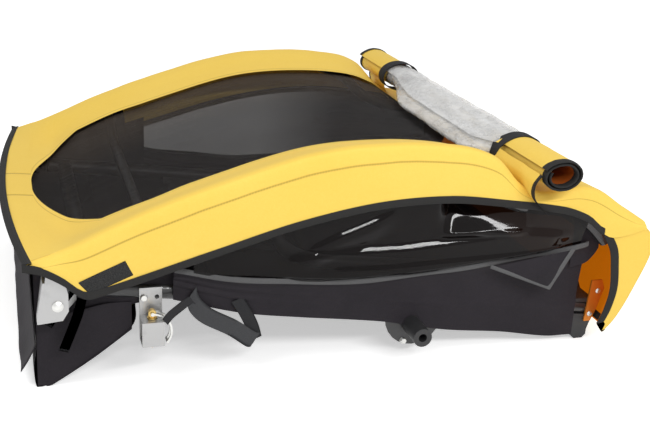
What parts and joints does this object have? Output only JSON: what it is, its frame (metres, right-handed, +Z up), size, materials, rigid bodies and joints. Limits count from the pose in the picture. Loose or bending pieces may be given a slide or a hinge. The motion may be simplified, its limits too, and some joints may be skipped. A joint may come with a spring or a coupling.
{
  "type": "child bicycle trailer",
  "caption": "Folded child bicycle trailer: tubular frame that opens at a front hinge and a rear hoop, yellow cloth cover with mesh window, smoked side windows, axle sockets and tow receiver.",
  "frame": {"origin": "centre of the folded trailer's box, on the ground", "axes": "+X rearward, +Y to the trailer's right side, +Z up"},
  "size_m": [0.94, 0.7541, 0.3391],
  "materials": {
    "black_paint": "satin powder coat",
    "bare_aluminium": "brushed, bare",
    "zinc_steel": "zinc plated",
    "brass_pin": "plain",
    "black_plastic": "fine moulded grain",
    "red_plastic": "moulded",
    "webbing": "woven nylon webbing",
    "hook_pile": "hook and loop pile",
    "black_cloth": "coated woven nylon",
    "seat_cloth": "padded woven polyester",
    "yellow_cloth": "coated woven polyester",
    "window_mesh": "fine open mesh",
    "smoked_vinyl": "glossy smoked film",
    "clear_vinyl": "glossy clear film"
  },
  "bodies": {
    "base": {"base_rail_left": "black_paint", "base_rail_right": "black_paint", "front_cross_tube": "black_paint", "axle_cross_tube": "black_paint", "rear_cross_tube": "black_paint", "tube_plugs": "black_plastic", "front_gusset_left": "bare_aluminium", "front_gusset_right": "bare_aluminium", "front_pivot_bolts": "zinc_steel", "rear_corner_left": "black_plastic", "rear_corner_right": "black_plastic", "rear_plates": "bare_aluminium", "plate_rivets": "zinc_steel", "hoop_bracket_left": "black_paint", "hoop_bracket_right": "black_paint", "hoop_pivot_bolts": "zinc_steel", "axle_bracket_left": "black_paint", "axle_bracket_right": "black_paint", "axle_socket_left": "black_plastic", "axle_socket_right": "black_plastic", "tow_receiver": "bare_aluminium", "frame_bolts": "zinc_steel", "pin_lanyard": "webbing", "wheel_straps": "webbing", "floor_sheet": "black_cloth", "footwell_tub": "black_cloth", "seat_cushion": "seat_cloth", "side_wall_left": "black_cloth", "side_wall_right": "black_cloth", "side_window_left": "smoked_vinyl", "side_window_right": "smoked_vinyl", "rear_panel": "yellow_cloth", "crotch_straps": "webbing", "buckle_left": "black_plastic", "buckle_right": "black_plastic"},
    "upper_frame": {"arch_tube_left": "black_paint", "arch_tube_right": "black_paint", "arch_feet": "black_paint", "front_bar": "black_paint", "lock_bar": "black_paint", "bar_clamps": "black_plastic", "latch_housings": "black_plastic", "cover": "yellow_cloth", "mesh_window": "window_mesh", "clear_roll": "clear_vinyl", "roll_hem_left": "yellow_cloth", "roll_hem_right": "yellow_cloth", "roll_straps": "webbing", "hook_patches": "hook_pile"},
    "rear_hoop": {"hoop_leg_left": "black_paint", "hoop_leg_right": "black_paint", "hoop_top_bar": "black_paint", "seat_back": "seat_cloth", "harness": "webbing"},
    "tow_pin": {"tow_pin": "brass_pin"},
    "pin_bail": {"pin_bail": "zinc_steel"},
    "latch_left": {"latch_button_left": "red_plastic"},
    "latch_right": {"latch_button_right": "red_plastic"},
    "buckle_press_left": {"buckle_button_left": "red_plastic"},
    "buckle_press_right": {"buckle_button_right": "red_plastic"}
  },
  "joints": [
    {"name": "fold_lift", "type": "hinge", "parent": "base", "child": "upper_frame", "pos_m": [-0.418, 0, 0.134], "axis": [0, -1, 0], "range_deg": [0, 28], "deforming": ["side_window_left", "side_window_right", "rear_panel"]},
    {"name": "hoop_fold", "type": "hinge", "parent": "base", "child": "rear_hoop", "pos_m": [0.378, 0, 0.084], "axis": [0, 1, 0], "range_deg": [0, 66]},
    {"name": "tow_pin_slide", "type": "slide", "parent": "base", "child": "tow_pin", "axis": [0, 0, 1], "range_m": [0, 0.045]},
    {"name": "bail_swing", "type": "hinge", "parent": "tow_pin", "child": "pin_bail", "pos_m": [-0.2925, -0.3138, 0.106], "axis": [0, -1, 0], "range_deg": [0, 110]},
    {"name": "latch_press_left", "type": "slide", "parent": "upper_frame", "child": "latch_left", "axis": [0, 0, -1], "range_m": [0, 0.0035], "stiffness_N_per_m": 400, "springref_m": -0.002},
    {"name": "latch_press_right", "type": "slide", "parent": "upper_frame", "child": "latch_right", "axis": [0, 0, -1], "range_m": [0, 0.0035], "stiffness_N_per_m": 400, "springref_m": -0.002},
    {"name": "buckle_press_left", "type": "slide", "parent": "base", "child": "buckle_press_left", "axis": [-0.116, 0, -0.9933], "range_m": [0, 0.003], "stiffness_N_per_m": 400, "springref_m": -0.002},
    {"name": "buckle_press_right", "type": "slide", "parent": "base", "child": "buckle_press_right", "axis": [-0.116, 0, -0.9933], "range_m": [0, 0.003], "stiffness_N_per_m": 400, "springref_m": -0.002}
  ],
  "couplings": [
    {"joint": "hoop_fold", "follows": "fold_lift", "ratio": 2.357}
  ]
}
